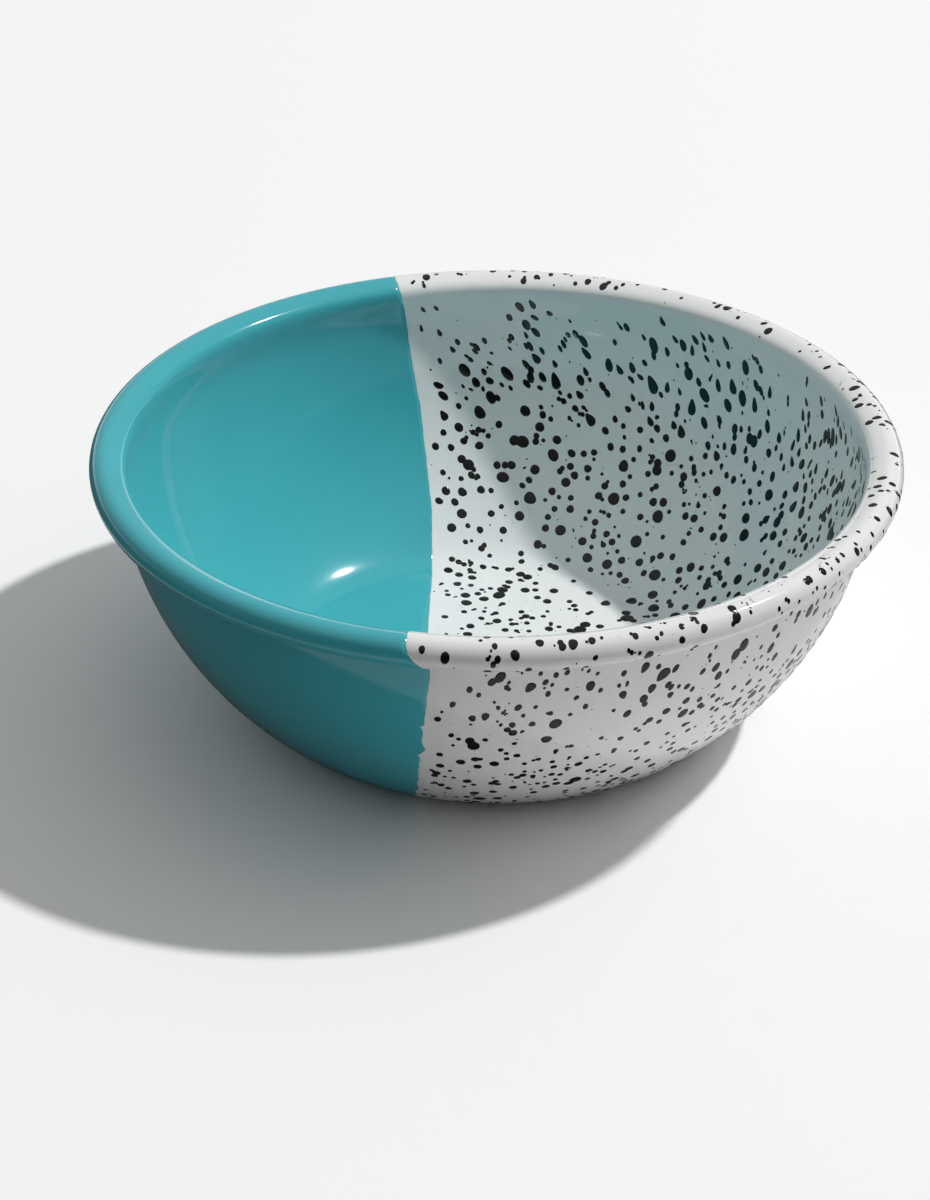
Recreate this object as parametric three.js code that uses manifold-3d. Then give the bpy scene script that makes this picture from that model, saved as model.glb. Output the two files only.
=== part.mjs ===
// Enamelled steel salad bowl: a pressed steel shell with a hollow rolled rim, and two fired enamel
// coats, turquoise and white, that meet on a straight seam beside the bowl's axis.
// Millimetres, +Z up. The origin is the centre of the base; +X points to the white side.

import * as THREE from 'three';
import { mergeVertices } from 'three/addons/utils/BufferGeometryUtils.js';
import Module from 'manifold-3d';

// Driving dimensions
const rimDiameter = 260; // over the enamelled rim
const bowlHeight = 91.5; // table to the top of the rim
const baseDiameter = 136; // flat that the bowl stands on
const heelRadius = 20.5; // outside bend between the base and the wall
const wallAngle = 85; // lean of the wall below the rim, in degrees from the table
const beadDiameter = 9.7; // rolled rim, over the enamel
const steelThickness = 0.9;
const enamelThickness = 0.4; // on each face of the steel, with the firing gap
const seamOffset = 23; // from the bowl's axis to the seam between the colours

// Clearances
const firingGap = 0.1; // between the steel and the enamel
const curlGap = 0.4; // between the curled edge of the steel and the wall

// Facets
const turnFacets = 60;
const heelFacets = 4;
const wallFacets = 5;
const beadFacets = 10;

const bowlThickness = steelThickness + 2 * enamelThickness;
const beadRadius = beadDiameter / 2;
const beadCentre = new THREE.Vector2(rimDiameter / 2 - beadRadius, bowlHeight - beadRadius);

// Directions at the top of the wall: along it, and from the rim's centre to its inner face.
const lean = THREE.MathUtils.degToRad(wallAngle);
const wallUp = new THREE.Vector2(Math.cos(lean), Math.sin(lean));
const wallIn = new THREE.Vector2(-Math.sin(lean), Math.cos(lean));

// Outer face of the wall in the half section: the heel's arc, then one long arc that is a tangent of
// the heel and ends one rim radius below the rim's centre. It runs on straight from there, so that
// the inner face is a tangent of the rim.
const wallTop = besideBead(beadRadius - bowlThickness, -beadRadius);
const heelCentre = new THREE.Vector2(baseDiameter / 2, heelRadius);
const heelToTop = wallTop.clone().sub(heelCentre);
const wallRadius = (heelToTop.lengthSq() - heelRadius ** 2) / (-2 * (heelToTop.dot(wallIn) + heelRadius));
const wallCentre = wallTop.clone().addScaledVector(wallIn, wallRadius);
const heelEnd = Math.atan2(heelCentre.x - wallCentre.x, wallCentre.y - heelCentre.y);

// A point given from the rim's centre, towards the wall's inner face and up along the wall.
function besideBead(inward, up) {
  return beadCentre.clone().addScaledVector(wallIn, inward).addScaledVector(wallUp, up);
}

// An arc of the wall, between two slopes of its face from the table.
function wallArc(centre, radius, from, to, facets) {
  const points = [];
  for (let i = 0; i <= facets; i++) {
    const slope = from + (to - from) * i / facets;
    points.push(new THREE.Vector2(centre.x + radius * Math.sin(slope), centre.y - radius * Math.cos(slope)));
  }
  return points;
}

// The heel and the wall up to below the rim, moved inwards from the bowl's outer face by depth.
function wallFace(depth) {
  return [
    ...wallArc(heelCentre, heelRadius - depth, 0, heelEnd, heelFacets),
    ...wallArc(wallCentre, wallRadius - depth, heelEnd, lean, wallFacets).slice(1),
  ];
}

// An arc of the rim about its centre. Angle 0 is the inner face and a quarter turn is the top.
function beadArc(radius, from, to) {
  const points = [];
  for (let i = 0; i <= beadFacets; i++) {
    const angle = from + (to - from) * i / beadFacets;
    points.push(besideBead(radius * Math.cos(angle), radius * Math.sin(angle)));
  }
  return points;
}

// Half section of the whole bowl with its surface moved inwards by depth, the rim filled.
function bowlSection(depth) {
  const radius = beadRadius - depth;
  const crease = -Math.acos((beadRadius - bowlThickness + depth) / radius);
  return [
    new THREE.Vector2(0, depth),
    ...wallFace(depth),
    ...beadArc(radius, 2 * Math.PI + crease, 0),
    ...wallFace(bowlThickness - depth).reverse(),
    new THREE.Vector2(0, bowlThickness - depth),
  ];
}

// Half section of the steel, whose edge curls over and down until it nearly meets the wall.
function steelSection() {
  const outside = beadRadius - enamelThickness;
  const inside = outside - steelThickness;
  const curlEnd = 2 * Math.PI - Math.acos((inside - curlGap) / outside);
  return [
    new THREE.Vector2(0, enamelThickness),
    ...wallFace(enamelThickness),
    ...beadArc(inside, 0, curlEnd),
    ...beadArc(outside, curlEnd, 0),
    ...wallFace(bowlThickness - enamelThickness).reverse(),
    new THREE.Vector2(0, bowlThickness - enamelThickness),
  ];
}

function turned(section) {
  return new THREE.LatheGeometry(section, turnFacets).rotateX(Math.PI / 2);
}

const wasm = await Module();
wasm.setup();

// A closed geometry as a solid: shared corners are merged and the slivers on the axis dropped.
function solid(geometry) {
  geometry.deleteAttribute('normal');
  geometry.deleteAttribute('uv');
  const merged = mergeVertices(geometry);
  const corners = merged.index.array;
  const triVerts = [];
  for (let i = 0; i < corners.length; i += 3) {
    const [a, b, c] = corners.slice(i, i + 3);
    if (a !== b && b !== c && c !== a) triVerts.push(a, b, c);
  }
  return new wasm.Manifold(new wasm.Mesh({
    numProp: 3,
    vertProperties: new Float32Array(merged.attributes.position.array),
    triVerts: new Uint32Array(triVerts),
  }));
}

function shape(manifold) {
  const mesh = manifold.getMesh();
  const geometry = new THREE.BufferGeometry();
  geometry.setAttribute('position', new THREE.BufferAttribute(mesh.vertProperties, 3));
  geometry.setIndex(new THREE.BufferAttribute(mesh.triVerts, 1));
  geometry.computeVertexNormals();
  return geometry;
}

// Everything on one side of the seam: side is 1 for +X and -1 for -X.
function besideSeam(side) {
  const reach = 2 * rimDiameter;
  const block = new THREE.BoxGeometry(reach, reach, reach);
  return solid(block.translate(side * reach / 2 - seamOffset, 0, 0));
}

const enamel = solid(turned(bowlSection(0)))
  .subtract(solid(turned(bowlSection(enamelThickness - firingGap))));

const finishes = {
  steel: { color: 0x7d8084, roughness: 0.45, metalness: 1 },
  turquoise: { color: 0x2f9aa4, roughness: 0.1, metalness: 0 },
  white: { color: 0xe6e7e5, roughness: 0.1, metalness: 0 },
};

const bowl = new THREE.Group();

function addPiece(name, geometry, finish) {
  const piece = new THREE.Mesh(geometry, new THREE.MeshStandardMaterial(finish));
  piece.name = name;
  bowl.add(piece);
}

addPiece('steel_shell', turned(steelSection()), finishes.steel);
addPiece('turquoise_enamel', shape(enamel.intersect(besideSeam(-1))), finishes.turquoise);
addPiece('white_enamel', shape(enamel.intersect(besideSeam(1))), finishes.white);

export default bowl;
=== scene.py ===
import math

import bmesh
import bpy
import numpy as np
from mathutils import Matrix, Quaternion, Vector


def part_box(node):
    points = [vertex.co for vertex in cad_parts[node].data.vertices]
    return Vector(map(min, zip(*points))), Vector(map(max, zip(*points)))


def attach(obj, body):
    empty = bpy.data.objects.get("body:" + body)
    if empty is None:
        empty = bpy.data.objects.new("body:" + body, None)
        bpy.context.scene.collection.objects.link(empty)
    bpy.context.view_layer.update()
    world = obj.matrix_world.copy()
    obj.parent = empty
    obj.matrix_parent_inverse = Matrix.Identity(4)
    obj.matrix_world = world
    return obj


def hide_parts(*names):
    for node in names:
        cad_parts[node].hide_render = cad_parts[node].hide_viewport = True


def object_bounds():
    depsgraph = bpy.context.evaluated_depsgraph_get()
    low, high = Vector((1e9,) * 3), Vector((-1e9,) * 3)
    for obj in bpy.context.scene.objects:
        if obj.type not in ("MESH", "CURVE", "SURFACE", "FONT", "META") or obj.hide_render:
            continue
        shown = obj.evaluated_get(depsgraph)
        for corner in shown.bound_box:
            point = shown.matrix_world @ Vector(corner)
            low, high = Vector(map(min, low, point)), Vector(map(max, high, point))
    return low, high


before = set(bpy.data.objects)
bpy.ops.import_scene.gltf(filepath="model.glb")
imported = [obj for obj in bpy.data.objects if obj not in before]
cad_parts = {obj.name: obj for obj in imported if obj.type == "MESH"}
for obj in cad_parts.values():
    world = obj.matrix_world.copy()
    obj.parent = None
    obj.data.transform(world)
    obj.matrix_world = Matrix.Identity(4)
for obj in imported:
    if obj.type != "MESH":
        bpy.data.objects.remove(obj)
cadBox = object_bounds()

mm = 0.001
rng = np.random.default_rng(93)  # its seed sets the speckle's layout and the seam's wobble

# Half section of the bowl, in millimetres. The frame gives the rim, the height and the seam.
bowl = {
    "rimRadius": cadBox[1].x / mm,
    "height": cadBox[1].z / mm,
    "seamX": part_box("turquoise_enamel")[1].x / mm,
    "baseRadius": 68.0,
    "heelRadius": 20.5,  # outside bend between the base and the wall
    "easing": 4.0,  # over which one bend passes into the next
    "easingReach": 2.5,  # easings from a bend to where it has died out
    "wallLean": math.radians(85),  # from the table, just below the rim
    "beadRadius": 4.85,  # rolled rim over the enamel
    "thickness": 1.7,
    "enamel": 0.4,
    "creaseRadius": 1.2,  # enamel that ran into the crease under the rim
    "shoulder": 2.0,  # by which the wall swells inwards where it begins to roll over
    "shoulderFade": 8.0,
    "shoulderPower": 4,  # how soon the swelling dies out over the rim
    "wallStep": 1.2,  # spacing of the rings
    "bendStep": 0.7,
    "creaseStep": 0.2,
    "neckRings": 5,
    "pathPoints": 2000,
}

lean = bowl["wallLean"]
wallUp = np.array([math.cos(lean), math.sin(lean)])
wallIn = np.array([-math.sin(lean), math.cos(lean)])
beadCentre = np.array([bowl["rimRadius"], bowl["height"]]) - bowl["beadRadius"]
heelCentre = np.array([bowl["baseRadius"], bowl["heelRadius"]])
wallTop = beadCentre + (bowl["beadRadius"] - bowl["thickness"]) * wallIn - bowl["beadRadius"] * wallUp
toTop = wallTop - heelCentre
wallRadius = (toTop @ toTop - bowl["heelRadius"] ** 2) / (-2 * (toTop @ wallIn + bowl["heelRadius"]))
wallCentre = wallTop + wallRadius * wallIn
heelEnd = math.atan2(heelCentre[0] - wallCentre[0], wallCentre[1] - heelCentre[1])


# Smooths evenly spaced values over a reach counted in steps; the ends hold their values.
def eased(values, reach):
    span = math.ceil(3 * reach)
    kernel = np.exp(-0.5 * (np.arange(-span, span + 1) / reach) ** 2)
    return np.convolve(np.pad(values, span, mode="edge"), kernel / kernel.sum(), mode="valid")


# Outer face from the middle of the base to the rim: its slope by length, then its points.
wallStart = bowl["baseRadius"] + bowl["heelRadius"] * heelEnd
wallStop = wallStart + wallRadius * (lean - heelEnd)
path = {"along": np.linspace(0, wallStop, bowl["pathPoints"])}
pathStep = path["along"][1]
slopes = np.interp(path["along"], [bowl["baseRadius"], wallStart, wallStop], [0, heelEnd, lean])
path["slope"] = eased(slopes, bowl["easing"] / pathStep)
halfway = (path["slope"][1:] + path["slope"][:-1]) / 2
path["r"] = np.concatenate([[0], np.cumsum(np.cos(halfway))]) * pathStep
path["z"] = np.concatenate([[0], np.cumsum(np.sin(halfway))]) * pathStep
flatStop = bowl["baseRadius"] - bowl["easingReach"] * bowl["easing"]
path["r"] += wallTop[0] - path["r"][-1]
path["z"] = np.maximum(0, path["z"] - np.interp(flatStop, path["along"], path["z"]))
path["z"] *= wallTop[1] / path["z"][-1]


# Points and normals of an arc; angles count from straight outwards, facing is 1 on the round side.
def arc(centre, radius, start, end, step, facing):
    angles = np.linspace(start, end, max(3, math.ceil(abs(end - start) * radius / step)) + 1)
    spokes = np.stack([np.cos(angles), np.sin(angles)], axis=1)
    return centre + radius * spokes, facing * spokes


def joined(*runs):
    points = np.concatenate([run[0] if i == 0 else run[0][1:] for i, run in enumerate(runs)])
    normals = np.concatenate([run[1] if i == 0 else run[1][1:] for i, run in enumerate(runs)])
    return points, normals


# Heel and wall, moved inwards from the outer face by depth, up to a distance below the neck.
def wallFace(depth, facing, below=0):
    at = np.linspace(flatStop, wallStop - below, math.ceil((wallStop - flatStop) / bowl["wallStep"]))
    slope, r, z = (np.interp(at, path["along"], path[name]) for name in ("slope", "r", "z"))
    outwards = np.stack([np.sin(slope), -np.cos(slope)], axis=1)
    return np.stack([r, z], axis=1) - depth * outwards, facing * outwards


# Section of the enamel's surface, from the edge of the floor over the rim to the edge of the base.
def enamelSection():
    inner = wallFace(bowl["thickness"], -1)
    neckTop = beadCentre + bowl["beadRadius"] * wallIn
    neckRings = bowl["neckRings"]
    neck = np.linspace(inner[0][-1], neckTop, neckRings), np.tile(wallIn, (neckRings, 1))
    creaseIn = bowl["beadRadius"] - bowl["thickness"] - bowl["creaseRadius"]
    creaseDown = math.sqrt((bowl["beadRadius"] + bowl["creaseRadius"]) ** 2 - creaseIn ** 2)
    creaseCentre = beadCentre + creaseIn * wallIn - creaseDown * wallUp
    quarter = lean + math.pi / 2
    turn = math.pi + math.atan2(creaseDown, -creaseIn)
    bead = arc(beadCentre, bowl["beadRadius"], quarter, quarter - turn, bowl["bendStep"], 1)
    creaseStart = quarter - turn + math.pi
    crease = arc(creaseCentre, bowl["creaseRadius"], creaseStart, quarter, bowl["creaseStep"], -1)
    outer = wallFace(0, 1, creaseDown - bowl["beadRadius"])
    outer = outer[0][::-1], outer[1][::-1]
    surface, facing = joined(inner, neck, bead, crease, outer)
    along = np.concatenate([[0], np.cumsum(np.linalg.norm(np.diff(surface, axis=0), axis=1))])
    rolls = len(inner[0]) + len(neck[0]) - 2  # the point where the wall begins to roll over
    before = np.exp(-((along[rolls] - along) / bowl["shoulderFade"]) ** 2)
    rolled = np.clip((along - along[rolls]) / (bowl["beadRadius"] * lean), 0, 1)
    after = np.cos(rolled * math.pi / 2) ** bowl["shoulderPower"]
    swell = bowl["shoulder"] * np.where(along < along[rolls], before, after)
    surface = surface + swell[:, None] * facing
    course = np.gradient(surface, along, axis=0)
    turned = np.stack([-course[:, 1], course[:, 0]], axis=1) / np.linalg.norm(course, axis=1)[:, None]
    swollen = swell[:, None] > 0.001  # elsewhere the arcs' own normals hold
    return surface, np.where(swollen, turned, facing)


points, normals = enamelSection()
flatRadius = points[0, 0]
ringSteps = np.linalg.norm(np.diff(points, axis=0), axis=1)
wallAlong = flatRadius + np.concatenate([[0], np.cumsum(ringSteps)])
wholeAlong = wallAlong[-1] + flatRadius
section = {  # the whole surface from the middle of the floor to the middle of the base
    "along": np.concatenate([[0], wallAlong, [wholeAlong]]),
    "r": np.concatenate([[0], points[:, 0], [0]]),
    "z": np.concatenate([[bowl["thickness"]], points[:, 1], [0]]),
    "nr": np.concatenate([[0], normals[:, 0], [0]]),
    "nz": np.concatenate([[1], normals[:, 1], [-1]]),
}
print(f"section: {len(points)} rings, {wholeAlong:.1f} mm from floor to base")

# Seam between the colours: millimetres along the section, and across the bowl there.
# The white was dipped by hand, so its edge leans, and ends in a round tongue on the near rim.
seam = {
    "far": [(0, 0), (40, 0), (68, 0.6), (93, 0.3), (114, -2), (132, -4.2), (150, -7.4), (167, -9.4),
            (174, -10.5), (182, -13), (189, -13), (200, -10), (250, -5), (320, -1.5), (373, -1.5)],
    "near": [(0, 0), (40, 0), (68, -1), (130, -2), (168, -1.6), (175, -1.6), (183, -2.3), (187, -2.8),
             (190, -1.4), (193, 1.8), (200, 3.8), (207, 4.2), (223, 2.5), (236, 1.5), (257, -0.1),
             (272, -0.4), (290, -2.1), (320, -1.5), (373, -1.5)],
    "step": 0.1,
    "smoothing": 1.2,
    "wobble": 0.1,  # of the hand-dipped edge
    "wobbleLengths": (31, 17, 9, 5),
    "steadyEnds": (20, 60),  # the wobble begins here, from the middle of the floor and of the base
    # where the wet coat broke
    "chips": {"from": 228, "to": 303, "count": 34, "depth": 0.42, "width": (0.35, 1.1)},
}


def smoothStep(low, high, value):
    t = np.clip((value - low) / (high - low), 0, 1)
    return t * t * (3 - 2 * t)


# A sum of waves of mixed lengths, in millimetres, with heights up to about 1.
def waves(along, lengths):
    total = sum(np.sin(2 * math.pi * along / length + rng.uniform(0, 2 * math.pi)) for length in lengths)
    return total / math.sqrt(len(lengths))


# Small rounded bumps and notches at random places along an edge.
def chips(along, look):
    total = np.zeros_like(along)
    for centre in rng.uniform(look["from"], look["to"], look["count"]):
        depth = rng.normal(0, look["depth"])
        width = rng.uniform(*look["width"])
        total += depth * np.exp(-0.5 * ((along - centre) / width) ** 2)
    return total


seamAlong = np.arange(0, wholeAlong, seam["step"])
seamAcross = {}
for side in ("far", "near"):
    across = eased(np.interp(seamAlong, *zip(*seam[side])), seam["smoothing"] / seam["step"])
    ends = smoothStep(*seam["steadyEnds"], seamAlong)
    ends = ends * smoothStep(*seam["steadyEnds"], wholeAlong - seamAlong)
    across = across + ends * seam["wobble"] * waves(seamAlong, seam["wobbleLengths"])
    seamAcross[side] = bowl["seamX"] + across + chips(seamAlong, seam["chips"])


def seamAt(side, along):
    return np.interp(along, seamAlong, seamAcross[side])


# The white lies over the turquoise, so its edge stands up in a thin rounded lip. It runs level, then
# fades into the coat, and the turquoise ends a little way under it.
lip = {"height": 0.12, "sunk": 0.06, "round": 0.3, "level": 1.5, "fade": 9.0, "overlap": 1.0}


def lipRise(distance):
    edge = np.clip(distance / lip["round"], 0, 1)
    rise = (lip["height"] + lip["sunk"]) * np.sqrt(1 - (1 - edge) ** 2) - lip["sunk"]
    return rise * (1 - smoothStep(lip["level"], lip["fade"], distance))


# Points nearer than this are joined, and faces with edges under this are dissolved; both in metres.
weld = {"points": 1e-6, "edges": 1e-8}


def meshPiece(name, vertices, faces):
    mesh = bpy.data.meshes.new(name)
    mesh.from_pydata((np.asarray(vertices) * mm).tolist(), [], faces)
    piece = bpy.data.objects.new(name, mesh)
    bpy.context.scene.collection.objects.link(piece)
    shape = bmesh.new()
    shape.from_mesh(mesh)
    bmesh.ops.remove_doubles(shape, verts=shape.verts, dist=weld["points"])
    bmesh.ops.dissolve_degenerate(shape, edges=shape.edges, dist=weld["edges"])
    for face in shape.faces:
        face.smooth = True
    shape.to_mesh(mesh)
    shape.free()
    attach(piece, "root")
    return piece


# Quads over a grid of points, turned so that they face along the grid's own normals.
def gridFaces(grid, gridNormals, first, closed=False):
    rows, columns = grid.shape[:2]
    number = first + np.arange(rows * columns).reshape(rows, columns)
    following = np.roll(number, -1, axis=0) if closed else number[1:]
    here = number if closed else number[:-1]
    quads = np.stack([here[:, :-1], following[:, :-1], following[:, 1:], here[:, 1:]], axis=-1).reshape(-1, 4)
    corners = grid.reshape(-1, 3)[quads - first]
    across = np.cross(corners[:, 2] - corners[:, 0], corners[:, 3] - corners[:, 1])
    agree = (across * gridNormals.reshape(-1, 3)[quads[:, 0] - first]).sum()
    return (quads if agree > 0 else quads[:, ::-1]).tolist()


# The two coats share their rings; columns of the white lie close together beside the seam.
coats = {
    "depth": 0.3,
    "floorRows": 30,
    "whiteColumns": 120,
    "turquoiseColumns": 120,
    "seamColumns": [0, 0.03, 0.08, 0.15, 0.25, 0.4, 0.8, 1.6, 3, 5, 8, 12, 17, 23],  # mm from the seam
}
rowShare = np.arange(coats["floorRows"]) / coats["floorRows"]


# Rings of a coat from the floor over the rim to the base: radius, height and normal of each.
def coatRings(floorRadii, baseRadii):
    radii = np.concatenate([floorRadii, points[:, 0], baseRadii])
    along = np.concatenate([floorRadii, wallAlong, wholeAlong - baseRadii])
    heights = np.interp(along, section["along"], section["z"])
    flat = np.zeros_like(floorRadii)
    outwards = np.concatenate([flat, normals[:, 0], flat])
    upwards = np.concatenate([flat + 1, normals[:, 1], flat - 1])
    return radii, heights, outwards, upwards


# Rings turned about the axis, with a normal at each point; angles has one row, or one for each ring.
def turnedGrid(rings, angles):
    radii, heights, outwards, upwards = (values[:, None] for values in rings)
    ones = np.ones_like(angles)
    grid = np.stack([radii * np.cos(angles), radii * np.sin(angles), heights * ones], axis=-1)
    facing = np.stack([outwards * np.cos(angles), outwards * np.sin(angles), upwards * ones], axis=-1)
    return grid, facing


def coatPiece(name, grids):
    vertices = []
    faces = []
    for grid, gridNormals, closed in grids:
        faces += gridFaces(grid, gridNormals, sum(map(len, vertices)), closed)
        vertices.append(grid.reshape(-1, 3))
    piece = meshPiece(name, np.concatenate(vertices), faces)
    skin = piece.modifiers.new("coat", "SOLIDIFY")
    skin.thickness = coats["depth"] * mm
    skin.offset = -1
    return piece


# White coat: a strip in planes parallel to the seam, then half turns about the axis.
def whiteCoat():
    share = np.array(coats["seamColumns"]) / coats["seamColumns"][-1]
    loop = []  # rows of the strip: over the far side, under the base, back over the near side
    for side, sign in (("far", 1), ("near", -1)):
        rows = [("floor", part) for part in rowShare] + [("wall", i) for i in range(len(points))]
        rows += [("base", part) for part in rowShare[::-1]]
        rows = rows if side == "far" else rows[::-1]
        loop += [(side, sign, kind, at) for kind, at in rows]
    strip = []
    stripNormals = []
    for side, sign, kind, at in loop:
        along = wallAlong[at] if kind == "wall" else at * flatRadius
        along = wholeAlong - along if kind == "base" else along
        edge = seamAt(side, along)
        x = edge * (1 - share)
        radius = points[at, 0] if kind == "wall" else flatRadius
        y = sign * np.sqrt(radius ** 2 - x ** 2) * (1 if kind == "wall" else at)
        if kind == "wall":
            z = np.full_like(x, points[at, 1])
            normal = np.stack([normals[at, 0] * x / radius, normals[at, 0] * y / radius], axis=1)
            normal = np.column_stack([normal, np.full_like(x, normals[at, 1])])
        else:
            z = np.full_like(x, bowl["thickness"] if kind == "floor" else 0)
            normal = np.tile([0, 0, 1 if kind == "floor" else -1], (len(x), 1))
        rise = lipRise(x - edge) * (1 + min(0, normal[0][2]))  # none under the base
        strip.append(np.stack([x, y, z], axis=1) + normal * rise[:, None])
        stripNormals.append(normal)
    floorRadii = rowShare * flatRadius
    angles = np.linspace(math.pi / 2, -math.pi / 2, coats["whiteColumns"] + 1)[None]
    half = turnedGrid(coatRings(floorRadii, floorRadii[::-1]), angles)
    piece = coatPiece("white_coat", [(np.array(strip), np.array(stripNormals), True), (*half, False)])
    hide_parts("white_enamel")
    return piece


# Turquoise coat: arcs about the axis from the far seam to the near one, ending just under the white.
def turquoiseCoat():
    start = seamAt("far", 0) + lip["overlap"]
    finish = seamAt("far", wholeAlong) + lip["overlap"]
    floorAcross = rowShare * math.sqrt(flatRadius ** 2 - start ** 2)
    baseAcross = rowShare[::-1] * math.sqrt(flatRadius ** 2 - finish ** 2)
    rings = coatRings(np.hypot(floorAcross, start), np.hypot(baseAcross, finish))
    radii = rings[0]
    along = np.concatenate([floorAcross, wallAlong, wholeAlong - baseAcross])
    far = np.arccos(np.clip((seamAt("far", along) + lip["overlap"]) / radii, -1, 1))
    near = 2 * math.pi - np.arccos(np.clip((seamAt("near", along) + lip["overlap"]) / radii, -1, 1))
    angles = far[:, None] + np.outer(near - far, np.linspace(0, 1, coats["turquoiseColumns"] + 1))
    piece = coatPiece("turquoise_coat", [(*turnedGrid(rings, angles), False)])
    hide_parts("turquoise_enamel")
    return piece


# Pressed steel inside the enamel, with its edge curled over and down.
shell = {"columns": 120, "curlGap": 0.4}


def steelShell():
    outside = bowl["beadRadius"] - bowl["enamel"]
    inside = bowl["beadRadius"] - bowl["thickness"] + bowl["enamel"]
    quarter = lean + math.pi / 2
    curlEnd = quarter - 2 * math.pi + math.acos((inside - shell["curlGap"]) / outside)
    lower = wallFace(bowl["enamel"], 1)[0]
    upper = wallFace(bowl["thickness"] - bowl["enamel"], -1)[0][::-1]
    curl = np.concatenate([arc(beadCentre, inside, quarter, curlEnd, bowl["bendStep"], -1)[0],
                           arc(beadCentre, outside, curlEnd, quarter, bowl["bendStep"], 1)[0]])
    baseMiddle = [[0, bowl["enamel"]]]
    floorMiddle = [[0, bowl["thickness"] - bowl["enamel"]]]
    outline = np.concatenate([baseMiddle, lower, curl, upper, floorMiddle])
    angles = np.linspace(0, 2 * math.pi, shell["columns"] + 1)[None]
    under = np.zeros(len(outline))
    under[:2] = -1  # the underside of the base settles which way the faces look
    grid, facing = turnedGrid((outline[:, 0], outline[:, 1], np.zeros_like(under), under), angles)
    piece = meshPiece("steel_shell_smooth", grid.reshape(-1, 3), gridFaces(grid, facing, 0))
    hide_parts("steel_shell")
    return piece


whitePiece = whiteCoat()
turquoisePiece = turquoiseCoat()
steelPiece = steelShell()
for piece in (whitePiece, turquoisePiece, steelPiece):
    print(f"{piece.name}: {len(piece.data.vertices)} points")

# Rings of a drop from its edge to its top: shares of its outline and of its height.
domes = {
    "fine": [(0.86, 0.8)],
    "low": [(0.95, 0.6), (0.7, 1)],
    "round": [(0.97, 0.45), (0.86, 0.8), (0.55, 1), (0.25, 1)],  # follows the tight bend of the rim
}

# Black enamel flicked on by brush: drops that merge, and run to a tail where the wall is steep.
# Sizes are millimetres, counts are drops on each square centimetre. A zone is a stretch of the section:
# "evenness" is the share of drops a quarter turn from the middle of the white, "steepAt" is where the
# wall turns steep, so that drops grow longer by about "stretch", and they lean by "lean" radians on the
# far and near sides.
speckle = {
    "zones": {
        "inside": {
            "from": 0, "to": 171, "count": 3.2, "middle": 2.5, "spread": 0.34, "most": 4.6,
            "evenness": 0.7, "tails": 0.35, "steepAt": (115, 155), "stretch": 0.9, "lean": 0.6,
            "rubbed": 0, "dome": "low",
        },
        "rim": {
            "from": 175, "to": 197, "count": 2.6, "middle": 1.95, "spread": 0.36, "most": 3.3,
            "evenness": 0.6, "tails": 0, "steepAt": (170, 175), "stretch": 0.3, "lean": 0,
            "rubbed": 0.15, "dome": "round",
        },
        "outside": {
            "from": 203, "to": 303, "count": 3.15, "middle": 1.92, "spread": 0.38, "most": 4.2,
            "evenness": 1, "tails": 0.2, "steepAt": (240, 210), "stretch": 0.4, "lean": 0.3,
            "rubbed": 0, "dome": "low",
        },
        "base": {
            "from": 306, "to": wholeAlong, "count": 1.4, "middle": 1.6, "spread": 0.4, "most": 3.4,
            "evenness": 1, "tails": 0, "steepAt": (306, 330), "stretch": 0.1, "lean": 0,
            "rubbed": 0, "dome": "low",
        },
    },
    "whiteShare": 0.56,  # of a turn about the axis
    "floorShare": 0.65,
    "floorEdge": (60, 90),
    "farShare": 0.75,  # high on the far wall
    "farStart": (120, 165),  # along the section
    "farEnd": (200, 190),
    "clustered": 0.3,  # share of the drops that fall beside another
    "clusterReach": 7.0,
    "apart": 0.6,  # of two sizes together, between the middles of two drops
    "attempts": 12,  # to find a drop a place
    "pairs": 0.15,
    "clumps": 0.04,
    "leastSize": 0.9,  # a drop under this is a fine one
    "fine": 0.22,  # tiny drops to each drop
    "fineMiddle": 0.6,
    "fineSpread": 0.3,
    "thickness": 0.07,
    "sunk": 0.05,
    "seamGap": 0.7,
    "leastGirth": 8,  # radius about the axis by which steps round the bowl are reckoned at least
    "flatMargin": 6,  # from the edge of the floor, where drops begin to follow the turn
    "zoneSteps": 400,  # by which drops are spread over a zone by area
}

# Shape of a drop: a wavy edge, a second round in a pair, a tail where it ran. Small drops are thinner.
dropShape = {
    "steps": 96,
    "pointSpacing": 0.45,  # round its edge
    "pointLimits": (9, 48),
    "waviness": 0.025,
    "waveTurn": 6.28,  # radians, about a whole turn
    "otherSize": (0.5, 0.95),  # of the first round
    "otherPlace": (0.72, 0.95),  # of both radii together
    "merging": 6,  # a lower power fills the waist of a pair
    "tailLength": 1.2,
    "tailNarrowing": 0.35,
    "thinnest": 0.35,  # share of the full thickness
    "thickening": 0.3,  # for each millimetre of size
    "stretchRange": (0.5, 1.4),
    "oddStretch": (0.05, 0.1),  # middle and spread
    "oddTilt": 0.2,
}


def onSection(along, name):
    return np.interp(along, section["along"], section[name])


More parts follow.
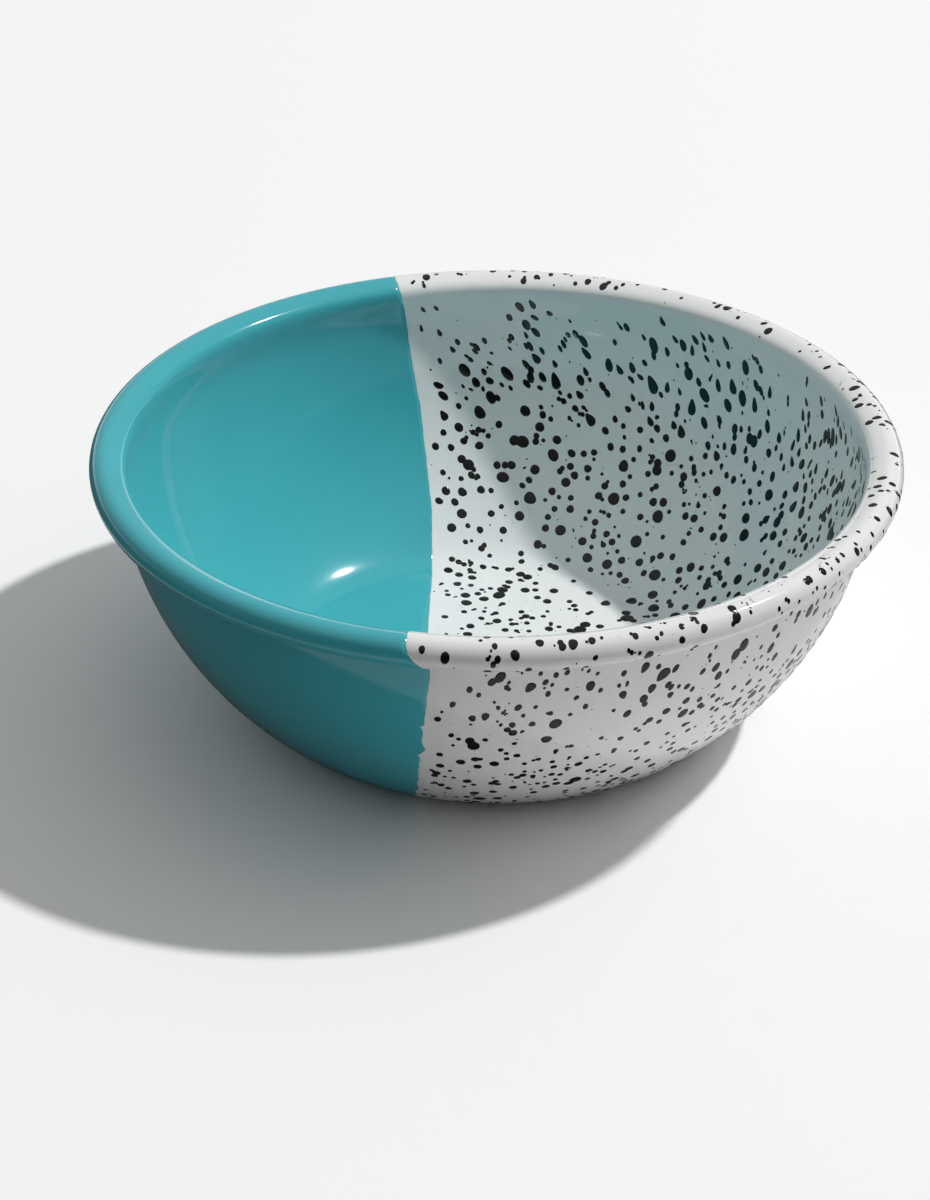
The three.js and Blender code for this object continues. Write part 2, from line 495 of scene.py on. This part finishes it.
# Points on the white's surface, a round the bowl and b along the section from a drop's middle.
def onWhite(along, angle, a, b, lift):
    radius = onSection(along, "r")
    if radius < flatRadius - speckle["flatMargin"]:  # flat floor and base, where turns would pinch a drop
        flip = 1 if along < flatRadius else -1
        x = radius * math.cos(angle) - a * math.sin(angle) + flip * b * math.cos(angle)
        y = radius * math.sin(angle) + a * math.cos(angle) + flip * b * math.sin(angle)
        z = np.full_like(x, onSection(along, "z"))
        nx, ny, nz = np.zeros_like(x), np.zeros_like(x), np.full_like(x, flip)
        place = np.abs(y) if flip > 0 else wholeAlong - np.abs(y)
    else:
        place = along + b
        radii = onSection(place, "r")
        turn = angle + a / radii
        x, y, z = radii * np.cos(turn), radii * np.sin(turn), onSection(place, "z")
        nx, ny = onSection(place, "nr") * np.cos(turn), onSection(place, "nr") * np.sin(turn)
        nz = onSection(place, "nz")
        place = np.where(place < flatRadius, np.abs(y), place)
    edge = np.where(y > 0, seamAt("far", place), seamAt("near", place))
    lift = lift + lipRise(x - edge) * (1 + np.minimum(0, nz))
    return np.stack([x + nx * lift, y + ny * lift, z + nz * lift], axis=-1), x - edge


# Outline of a drop as points at even steps: a round, or two that ran together, stretched and tilted.
def dropOutline(size, kind, stretch, tilt):
    radius = size / 2
    angles = np.linspace(0, 2 * math.pi, dropShape["steps"], endpoint=False)
    reach = np.full_like(angles, radius)
    if kind == "pair":
        other = radius * rng.uniform(*dropShape["otherSize"])
        apart = (radius + other) * rng.uniform(*dropShape["otherPlace"])
        crossing = (apart ** 2 + radius ** 2 - other ** 2) / (2 * apart)  # from the first middle
        turned = angles - rng.uniform(0, 2 * math.pi)
        first = np.sqrt(radius ** 2 - (crossing * np.sin(turned)) ** 2) - crossing * np.cos(turned)
        crossing = apart - crossing
        second = np.sqrt(other ** 2 - (crossing * np.sin(turned)) ** 2) + crossing * np.cos(turned)
        power = dropShape["merging"]
        reach = (first ** power + second ** power) ** (1 / power)
    waviness, waveTurn = dropShape["waviness"], dropShape["waveTurn"]
    wave = sum(rng.normal(0, waviness) * np.cos(k * angles + rng.uniform(0, waveTurn)) for k in (2, 3))
    reach = reach * (1 + wave)
    a = reach * np.cos(angles) / math.sqrt(stretch)
    b = reach * np.sin(angles) * math.sqrt(stretch)
    if kind == "tail":  # narrows to its upper end
        b = dropShape["tailLength"] * b
        a = a * (1 - dropShape["tailNarrowing"] * b / b.max())
    cos, sin = math.cos(tilt), math.sin(tilt)
    outline = np.stack([a * cos + b * sin, b * cos - a * sin], axis=1)
    closed = np.vstack([outline, outline[:1]])
    run = np.concatenate([[0], np.cumsum(np.linalg.norm(np.diff(closed, axis=0), axis=1))])
    count = int(np.clip(run[-1] / dropShape["pointSpacing"], *dropShape["pointLimits"]))
    even = np.arange(count) / count * run[-1]
    return np.stack([np.interp(even, run, closed[:, 0]), np.interp(even, run, closed[:, 1])], axis=1)


# A drop as a closed low dome: rings from its sunk edge to its top, and a floor under the enamel.
def addDrop(vertices, faces, along, angle, outline, size, dome):
    thickness = speckle["thickness"] * min(1, dropShape["thinnest"] + dropShape["thickening"] * size)
    profile = domes[dome if size > speckle["leastSize"] else "fine"]
    rings = [(1, -speckle["sunk"])] + [(share, lift * thickness) for share, lift in profile]
    levels = []
    gaps = []
    for share, lift in rings:
        ring, gap = onWhite(along, angle, share * outline[:, 0], share * outline[:, 1], lift)
        levels.append(ring)
        gaps.append(gap.min())
    if min(gaps) < speckle["seamGap"]:
        return False
    zero = np.zeros(1)
    top = onWhite(along, angle, zero, zero, thickness)[0]
    bottom = onWhite(along, angle, zero, zero, -speckle["sunk"])[0]
    first = sum(map(len, vertices))
    count = len(outline)
    number = first + np.arange(len(rings) * count).reshape(len(rings), count)
    turned = np.roll(number, -1, axis=1)
    for k in range(len(rings) - 1):
        faces += np.stack([number[k], number[k + 1], turned[k + 1], turned[k]], axis=1).tolist()
    topNumber = first + len(rings) * count
    faces += [(int(j), int(i), topNumber) for i, j in zip(number[-1], turned[-1])]
    faces += [(int(i), int(j), topNumber + 1) for i, j in zip(number[0], turned[0])]
    vertices += levels + [top, bottom]
    return True


# A drop that was rubbed while wet leaves a few small bits of itself; sizes are shares of its own.
rubbed = {"count": (4, 8), "scatter": 0.35, "size": (0.12, 0.3)}


def rubbedBits(along, angle, size):
    steps = rng.normal(0, rubbed["scatter"] * size, (rng.integers(*rubbed["count"]), 2))
    radius = onSection(along, "r")
    return [(along + up, angle + over / radius, size * rng.uniform(*rubbed["size"]), "round")
            for up, over in steps]


# A clump is a drop with one to three smaller ones on its edge; sizes are shares of its own.
clump = {"count": (1, 4), "size": (0.4, 0.9), "reach": (0.75, 0.95)}


# What a drop does where it lands: most stay round, some run together or down a steep wall.
def dropBits(along, angle, size, tails):
    chance = rng.random()
    if size < speckle["leastSize"]:
        return [(along, angle, size, "round")]
    kind = "tail" if chance < tails else "pair" if chance < tails + speckle["pairs"] else "round"
    bits = [(along, angle, size, kind)]
    if chance > 1 - speckle["clumps"]:
        for turn in rng.uniform(0, 2 * math.pi, rng.integers(*clump["count"])):
            other = size * rng.uniform(*clump["size"])
            reach = (size + other) / 2 * rng.uniform(*clump["reach"])
            girth = max(speckle["leastGirth"], onSection(along, "r"))
            place = along + reach * math.sin(turn), angle + reach * math.cos(turn) / girth
            bits.append((*place, other, "round"))
    return bits


# How thickly the drops lie, from 0 to 1.
def dropShare(along, angle, evenness):
    share = evenness + (1 - evenness) * math.cos(angle)
    share *= speckle["floorShare"] + (1 - speckle["floorShare"]) * smoothStep(*speckle["floorEdge"], along)
    high = smoothStep(*speckle["farStart"], along) * smoothStep(*speckle["farEnd"], along)
    high = high * max(0, math.sin(angle))
    return share * (1 - (1 - speckle["farShare"]) * high)


def speckleZone(name, zone):
    span = np.linspace(zone["from"], zone["to"], speckle["zoneSteps"])
    share = np.cumsum(onSection(span, "r"))
    share = (share - share[0]) / (share[-1] - share[0])
    # a whole turn of the zone, in square centimetres
    turnArea = 2 * math.pi * onSection(span, "r").mean() * (zone["to"] - zone["from"]) / 100
    wanted = int(zone["count"] * turnArea * speckle["whiteShare"])
    vertices = []
    faces = []
    spots = []
    places = np.zeros((0, 3))
    sizes = np.zeros(0)
    drops = []
    for _ in range(wanted):
        size = zone["middle"] * math.exp(rng.normal(0, zone["spread"]))
        drops.append(np.clip(size, speckle["leastSize"], zone["most"]))
    for _ in range(int(wanted * speckle["fine"])):
        drops.append(speckle["fineMiddle"] * math.exp(rng.normal(0, speckle["fineSpread"])))
    for size in drops:
        for _ in range(speckle["attempts"]):
            along = np.interp(rng.random(), share, span)
            angle = rng.uniform(-math.pi, math.pi)
            if spots and rng.random() < speckle["clustered"]:
                along, angle = spots[rng.integers(len(spots))]
                along = along + rng.normal(0, speckle["clusterReach"])
                girth = max(speckle["leastGirth"], onSection(along, "r"))
                angle = angle + rng.normal(0, speckle["clusterReach"]) / girth
            elif rng.random() > dropShare(along, angle, zone["evenness"]):
                continue
            if not zone["from"] + size < along < zone["to"] - size / 2:
                continue
            place, gap = onWhite(along, angle, np.zeros(1), np.zeros(1), 0)
            if gap[0] < speckle["seamGap"] + size / 2:
                continue
            if (np.linalg.norm(places - place[0], axis=1) < speckle["apart"] * (sizes + size)).any():
                continue
            steep = smoothStep(*zone["steepAt"], along)
            longer = zone["stretch"] * steep * rng.uniform(*dropShape["stretchRange"])
            stretch = 1 + abs(longer + rng.normal(*dropShape["oddStretch"]))
            tilt = zone["lean"] * math.sin(angle) + rng.normal(0, dropShape["oddTilt"])
            bits = dropBits(along, angle, size, zone["tails"] * steep)
            if rng.random() < zone["rubbed"]:
                bits = rubbedBits(along, angle, size)
            added = []
            for bitAlong, bitAngle, bit, kind in bits:
                outline = dropOutline(bit, kind, stretch, tilt)
                added.append(addDrop(vertices, faces, bitAlong, bitAngle, outline, bit, zone["dome"]))
            if any(added):
                places = np.vstack([places, place])
                sizes = np.append(sizes, size)
                spots.append((along, angle))
                break
    piece = meshPiece("speckle_" + name, np.concatenate(vertices), faces)
    print(f"speckle {name}: {len(spots)} drops")
    return piece


specklePieces = [speckleZone(name, zone) for name, zone in speckle["zones"].items()]


# An sRGB hex colour as linear light.
def colour(code):
    values = [int(code[i:i + 2], 16) / 255 for i in (1, 3, 5)]
    return [v / 12.92 if v < 0.04045 else ((v + 0.055) / 1.055) ** 2.4 for v in values] + [1]


# Adds a node with its settings; an input takes a value or another node's output.
def addNode(tree, kind, settings=None, inputs=None):
    node = tree.nodes.new(kind)
    for name, value in (settings or {}).items():
        setattr(node, name, value)
    for name, value in (inputs or {}).items():
        if isinstance(value, bpy.types.NodeSocket):
            tree.links.new(value, node.inputs[name])
        else:
            node.inputs[name].default_value = value
    return node


def newMaterial(name):
    material = bpy.data.materials.new(name)
    material.use_nodes = True
    material.node_tree.nodes.clear()
    return material, material.node_tree


# Turns a pattern's size in millimetres to a texture scale on object coordinates in metres.
def patternScale(size):
    return 1 / (size * mm)


# What all the enamels share, as glass: an even gloss, with softer haze and glow over it.
firedGlass = {"ior": 1.5, "cloudDetail": 3, "rippleDetail": 1, "hazeRoughness": 0.5, "glowRoughness": 0.25}

# Vitreous enamel, a coloured glass fired onto steel: deep even colour under a wet-looking gloss,
# slightly wavy, a little darker and lighter where the glass ran, with a few tiny burst bubbles.
turquoiseEnamel = {
    "deep": "#41aeb9",
    "colour": "#47b8c3",
    "cloud": 38,  # millimetres across a patch of tone
    "ripple": 6,  # orange peel of the fired glass
    "rippleHeight": 0.004,
    "bubbleSpacing": 16,
    "bubbleRadius": 0.22,
    "bubbleColour": "#5cc0c6",
    "haze": 0.05,
    "roughness": 0.08,
    "glow": 0.1,
}


def enamelMaterial(name, look):
    material, tree = newMaterial(name)
    place = addNode(tree, "ShaderNodeTexCoord").outputs["Object"]
    cloud = addNode(tree, "ShaderNodeTexNoise", {},
                    {"Vector": place, "Scale": patternScale(look["cloud"]),
                     "Detail": firedGlass["cloudDetail"]})
    tone = addNode(tree, "ShaderNodeMix", {"data_type": "RGBA"},
                   {0: cloud.outputs["Fac"], 6: colour(look["deep"]), 7: colour(look["colour"])})
    cells = addNode(tree, "ShaderNodeTexVoronoi", {},
                    {"Vector": place, "Scale": patternScale(look["bubbleSpacing"])})
    bubble = addNode(tree, "ShaderNodeMath", {"operation": "LESS_THAN"},
                     {0: cells.outputs["Distance"], 1: look["bubbleRadius"] / look["bubbleSpacing"]})
    spotted = addNode(tree, "ShaderNodeMix", {"data_type": "RGBA"},
                      {0: bubble.outputs[0], 6: tone.outputs[2], 7: colour(look["bubbleColour"])})
    ripple = addNode(tree, "ShaderNodeTexNoise", {},
                     {"Vector": place, "Scale": patternScale(look["ripple"]),
                      "Detail": firedGlass["rippleDetail"]})
    bump = addNode(tree, "ShaderNodeBump", {},
                   {"Height": ripple.outputs["Fac"], "Distance": look["rippleHeight"] * mm})
    glass = addNode(tree, "ShaderNodeBsdfPrincipled", {},
                    {"Base Color": spotted.outputs[2], "Roughness": look["roughness"],
                     "IOR": firedGlass["ior"],
                     "Sheen Weight": look["haze"], "Sheen Roughness": firedGlass["hazeRoughness"],
                     "Coat Weight": look["glow"], "Coat Roughness": firedGlass["glowRoughness"],
                     "Normal": bump.outputs[0], "Coat Normal": bump.outputs[0]})
    addNode(tree, "ShaderNodeOutputMaterial", {}, {"Surface": glass.outputs[0]})
    return material


# White cover enamel: opaque and milky, with a faint cool cloudiness where it is thin.
whiteEnamel = {
    "deep": "#eff1f0",
    "colour": "#f6f7f5",
    "cloud": 30,
    "ripple": 6,
    "rippleHeight": 0.004,
    "bubbleSpacing": 18,
    "bubbleRadius": 0.2,
    "bubbleColour": "#b9bfbf",
    "haze": 0.0,
    "roughness": 0.06,
    "glow": 0.06,
}

# Black enamel in drops: nearly black glass, a touch greyer where it is thin.
blackEnamel = {
    "deep": "#0c0d0d",
    "colour": "#131414",
    "cloud": 2,
    "ripple": 3,
    "rippleHeight": 0.003,
    "bubbleSpacing": 7,
    "bubbleRadius": 0.1,
    "bubbleColour": "#2a2b2a",
    "haze": 0.0,
    "roughness": 0.12,
    "glow": 0.0,
}

# Deep-drawing steel, pickled before enamelling: a dull grey metal with an even tooth.
pickledSteel = {
    "dark": "#6b6d70",
    "light": "#8c8e90",
    "tooth": 0.8,
    "toothDetail": 4,
    "toothHeight": 0.01,
    "roughness": 0.5,
}


def steelMaterial(look):
    material, tree = newMaterial("pickled deep-drawing steel")
    place = addNode(tree, "ShaderNodeTexCoord").outputs["Object"]
    tooth = addNode(tree, "ShaderNodeTexNoise", {},
                    {"Vector": place, "Scale": patternScale(look["tooth"]), "Detail": look["toothDetail"]})
    tone = addNode(tree, "ShaderNodeMix", {"data_type": "RGBA"},
                   {0: tooth.outputs["Fac"], 6: colour(look["dark"]), 7: colour(look["light"])})
    bump = addNode(tree, "ShaderNodeBump", {},
                   {"Height": tooth.outputs["Fac"], "Distance": look["toothHeight"] * mm})
    metal = addNode(tree, "ShaderNodeBsdfPrincipled", {},
                    {"Base Color": tone.outputs[2], "Metallic": 1, "Roughness": look["roughness"],
                     "Normal": bump.outputs[0]})
    addNode(tree, "ShaderNodeOutputMaterial", {}, {"Surface": metal.outputs[0]})
    return material


whitePiece.data.materials.append(enamelMaterial("white vitreous enamel", whiteEnamel))
turquoisePiece.data.materials.append(enamelMaterial("turquoise vitreous enamel", turquoiseEnamel))
steelPiece.data.materials.append(steelMaterial(pickledSteel))
blackDrops = enamelMaterial("black vitreous enamel drops", blackEnamel)
for piece in specklePieces:
    piece.data.materials.append(blackDrops)
print("materials: enamels and steel")

# Table top of matt white paper, far wider than the view, a hair under the base.
# Its colour for the light it throws back is painted: painted shade on the left, where the bowl's shadow lies,
# and painted darkness far off. In reflections its colour is a painted pool of light round the bowl, outside
# its shadow, with painted shadow inside the shadow and painted darkness beyond the pool. Distances are
# metres.
table = {
    "size": 12.0,
    "below": 0.1,
    "seen": "#fefefe",
    # bounce tones: painted shade on the left, under the bowl's shadow, and painted darkness far off
    "bounceLeft": "#959595",
    "bounceRight": "#ffffff",
    "bounceFar": "#707070",
    "bounceAcross": (-0.1, 0.02),
    "bounceAway": (0.3, 0.55),
    "shadeMiddle": (-0.067, -0.02, 0),  # of the bowl's shadow
    "shadeEdge": (0.13, 0.137),
    "poolEdge": (0.27, 0.215),
    # reflection tones: painted darkness beyond the pool, painted shadow inside the bowl's shadow, and a
    # painted pool of light between
    "mirrorFar": "#343434",
    "mirrorShade": "#7c7c7c",
    "mirrorPool": "#d0d0d0",
    "roughness": 0.9,
}


def paperTable():
    half = table["size"] / 2
    corners = [(-half, -half), (half, -half), (half, half), (-half, half)]
    mesh = bpy.data.meshes.new("paper_table")
    mesh.from_pydata([(x, y, -table["below"] * mm) for x, y in corners], [], [(0, 1, 2, 3)])
    piece = bpy.data.objects.new("paper_table", mesh)
    bpy.context.scene.collection.objects.link(piece)
    material, tree = newMaterial("matt white paper")
    ray = addNode(tree, "ShaderNodeLightPath")
    place = addNode(tree, "ShaderNodeTexCoord").outputs["Object"]
    across = addNode(tree, "ShaderNodeSeparateXYZ", {}, {0: place}).outputs["X"]
    away = addNode(tree, "ShaderNodeVectorMath", {"operation": "LENGTH"}, {0: place}).outputs["Value"]
    shade = addNode(tree, "ShaderNodeVectorMath", {"operation": "DISTANCE"},
                    {0: place, 1: table["shadeMiddle"]}).outputs["Value"]
    shares = {}
    measures = {"bounceAcross": across, "bounceAway": away, "shadeEdge": shade, "poolEdge": away}
    for name, distance in measures.items():
        start, end = table[name]
        shares[name] = addNode(tree, "ShaderNodeMapRange", {}, {0: distance, 1: start, 2: end}).outputs[0]
    # painted shade in the colour the paper throws back as light: darker on the left under the bowl's shadow,
    # and far off
    bounce = addNode(tree, "ShaderNodeMix", {"data_type": "RGBA"},
                     {0: shares["bounceAcross"], 6: colour(table["bounceLeft"]),
                      7: colour(table["bounceRight"])})
    bounce = addNode(tree, "ShaderNodeMix", {"data_type": "RGBA"},
                     {0: shares["bounceAway"], 6: bounce.outputs[2], 7: colour(table["bounceFar"])})
    # painted shadow and a painted pool of light in the colour seen in reflections, with painted darkness
    # beyond the pool
    mirror = addNode(tree, "ShaderNodeMix", {"data_type": "RGBA"},
                     {0: shares["shadeEdge"], 6: colour(table["mirrorShade"]),
                      7: colour(table["mirrorPool"])})
    mirror = addNode(tree, "ShaderNodeMix", {"data_type": "RGBA"},
                     {0: shares["poolEdge"], 6: colour(table["mirrorFar"]), 7: mirror.outputs[2]})
    unseen = addNode(tree, "ShaderNodeMix", {"data_type": "RGBA"},
                     {0: ray.outputs["Is Glossy Ray"], 6: bounce.outputs[2], 7: mirror.outputs[2]})
    tone = addNode(tree, "ShaderNodeMix", {"data_type": "RGBA"},
                   {0: ray.outputs["Is Camera Ray"], 6: unseen.outputs[2], 7: colour(table["seen"])})
    paper = addNode(tree, "ShaderNodeBsdfPrincipled", {},
                    {"Base Color": tone.outputs[2], "Roughness": table["roughness"],
                     "Specular IOR Level": 0.0})
    addNode(tree, "ShaderNodeOutputMaterial", {}, {"Surface": paper.outputs[0]})
    mesh.materials.append(material)


# One small lamp, high on the right and a little behind, in a pale room that is dark in front.
# The back wall has a bright foot, which draws a thin line of light along the inner edge of the rim.
lamp = {"azimuth": 17.2, "height": 53.4, "distance": 3.9, "radius": 0.09, "strength": 27.3}
room = {
    "colour": "#ffffff",
    "right": 0.12,
    "left": 0.18,
    "back": 0.3,
    "front": 0.0,
    "above": 0.57,
    "foot": 1.0,
    "footTop": (0.17, 0.07),  # sines of the heights where the foot starts and is full
    "seen": "#f5f5f5",
}


def studioLight():
    azimuth, height = math.radians(lamp["azimuth"]), math.radians(lamp["height"])
    data = bpy.data.lights.new("key_lamp", "POINT")
    data.shadow_soft_size = lamp["radius"]
    data.energy = 1
    data.use_nodes = True
    data.node_tree.nodes.clear()
    even = addNode(data.node_tree, "ShaderNodeLightFalloff", {}, {"Strength": lamp["strength"]})
    glow = addNode(data.node_tree, "ShaderNodeEmission", {}, {"Strength": even.outputs["Constant"]})
    addNode(data.node_tree, "ShaderNodeOutputLight", {}, {"Surface": glow.outputs[0]})
    key = bpy.data.objects.new("key_lamp", data)
    key.location = lamp["distance"] * Vector((math.cos(height) * math.cos(azimuth),
                                              math.cos(height) * math.sin(azimuth), math.sin(height)))
    bpy.context.scene.collection.objects.link(key)
    world = bpy.data.worlds.new("pale_room")
    world.use_nodes = True
    tree = world.node_tree
    tree.nodes.clear()
    direction = addNode(tree, "ShaderNodeTexCoord").outputs["Generated"]
    split = addNode(tree, "ShaderNodeSeparateXYZ", {}, {0: direction})
    total = 0  # the walls blend by the squares of the direction
    sides = (("X", 1, "right"), ("X", -1, "left"), ("Y", 1, "back"), ("Y", -1, "front"), ("Z", 1, "above"))
    for axis, sign, wall in sides:
        facing = addNode(tree, "ShaderNodeMath", {"operation": "MULTIPLY", "use_clamp": True},
                         {0: split.outputs[axis], 1: sign})
        share = addNode(tree, "ShaderNodeMath", {"operation": "POWER"}, {0: facing.outputs[0], 1: 2})
        total = addNode(tree, "ShaderNodeMath", {"operation": "MULTIPLY_ADD"},
                        {0: share.outputs[0], 1: room[wall], 2: total}).outputs[0]
    footTop, footFull = room["footTop"]
    low = addNode(tree, "ShaderNodeMapRange", {}, {0: split.outputs["Z"], 1: footTop, 2: footFull})
    behind = addNode(tree, "ShaderNodeMath", {"operation": "MULTIPLY", "use_clamp": True},
                     {0: split.outputs["Y"], 1: low.outputs[0]})
    total = addNode(tree, "ShaderNodeMath", {"operation": "MULTIPLY_ADD"},
                    {0: behind.outputs[0], 1: room["foot"], 2: total}).outputs[0]
    walls = addNode(tree, "ShaderNodeBackground", {}, {"Color": colour(room["colour"]), "Strength": total})
    seen = addNode(tree, "ShaderNodeBackground", {}, {"Color": colour(room["seen"]), "Strength": 1})
    ray = addNode(tree, "ShaderNodeLightPath")
    both = addNode(tree, "ShaderNodeMixShader", {},
                   {0: ray.outputs["Is Camera Ray"], 1: walls.outputs[0], 2: seen.outputs[0]})
    addNode(tree, "ShaderNodeOutputWorld", {}, {"Surface": both.outputs[0]})
    bpy.context.scene.world = world


# The camera stands where the photograph's did; the target falls beside the middle of the picture.
camera = {
    "target": (0, 0, 0.05),
    "distance": 1.0447,
    "elevation": 29.79,
    "roll": 0.31,
    "focalPixels": 3200,
    "picture": (930, 1200),
    "targetPixel": (495.6, 549.4),
    "sensor": 36.0,
    "clipEnd": 100,
}


def placeCamera():
    data = bpy.data.cameras.new("camera")
    data.sensor_fit = "AUTO"
    data.sensor_width = camera["sensor"]
    data.lens = camera["focalPixels"] / camera["picture"][1] * camera["sensor"]
    data.clip_end = camera["clipEnd"]
    eye = bpy.data.objects.new("camera", data)
    bpy.context.scene.collection.objects.link(eye)
    rise = math.radians(camera["elevation"])
    back = Vector((0, -math.cos(rise), math.sin(rise)))
    eye.location = Vector(camera["target"]) + camera["distance"] * back
    right = (camera["targetPixel"][0] - camera["picture"][0] / 2) / camera["focalPixels"]
    up = (camera["picture"][1] / 2 - camera["targetPixel"][1]) / camera["focalPixels"]
    ahead = Vector((0, 0, -1))
    aim = Vector((right, up, -1)).rotation_difference(ahead)
    level = (-back).to_track_quat("-Z", "Y")
    eye.rotation_mode = "QUATERNION"
    eye.rotation_quaternion = level @ Quaternion((0, 0, 1), math.radians(camera["roll"])) @ aim
    bpy.context.scene.camera = eye


paperTable()
studioLight()
placeCamera()
bpy.context.scene.view_settings.view_transform = "Standard"
print("table, light and camera in place")
